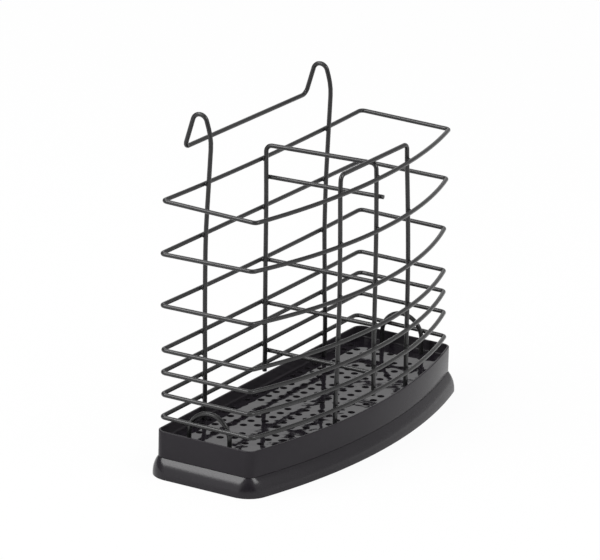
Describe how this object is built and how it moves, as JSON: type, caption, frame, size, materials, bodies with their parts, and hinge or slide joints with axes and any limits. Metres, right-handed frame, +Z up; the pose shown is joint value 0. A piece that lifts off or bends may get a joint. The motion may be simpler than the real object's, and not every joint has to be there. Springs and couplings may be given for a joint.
{
  "type": "cutlery holder",
  "caption": "Hanging or standing wire cutlery holder with a bowed front, middle divider, rear hooks, perforated drainer and drip tray; the basket and drainer lift off.",
  "frame": {"origin": "centre of the drip tray's flat underside, midway along its length and on the hoops' middle line from back to front corner", "axes": "+Z up along the lift, +X along the length, -Y towards the bowed front, +Y towards the hooks"},
  "size_m": [0.2364, 0.1011, 0.2056],
  "materials": {
    "wire": "satin black powder coat",
    "drainer": "satin band, polished floor",
    "tray": "glossy"
  },
  "bodies": {
    "tray": {"drip_tray": "tray"},
    "drainer": {"drainer": "drainer"},
    "basket": {"hoop_1": "wire", "hoop_2": "wire", "hoop_3": "wire", "hoop_4": "wire", "hoop_5": "wire", "hoop_6": "wire", "hoop_7": "wire", "hanger_frame": "wire", "divider_frame": "wire", "divider_rung_1": "wire", "divider_rung_2": "wire", "divider_rung_3": "wire", "divider_rung_4": "wire", "front_frame": "wire", "left_foot_arch": "wire", "right_foot_arch": "wire"}
  },
  "joints": [
    {"name": "drainer_lift", "type": "slide", "parent": "tray", "child": "drainer", "axis": [0, 0, 1], "range_m": [0, 0.02]},
    {"name": "basket_lift", "type": "slide", "parent": "drainer", "child": "basket", "axis": [0, 0, 1], "range_m": [0, 0.03]}
  ]
}
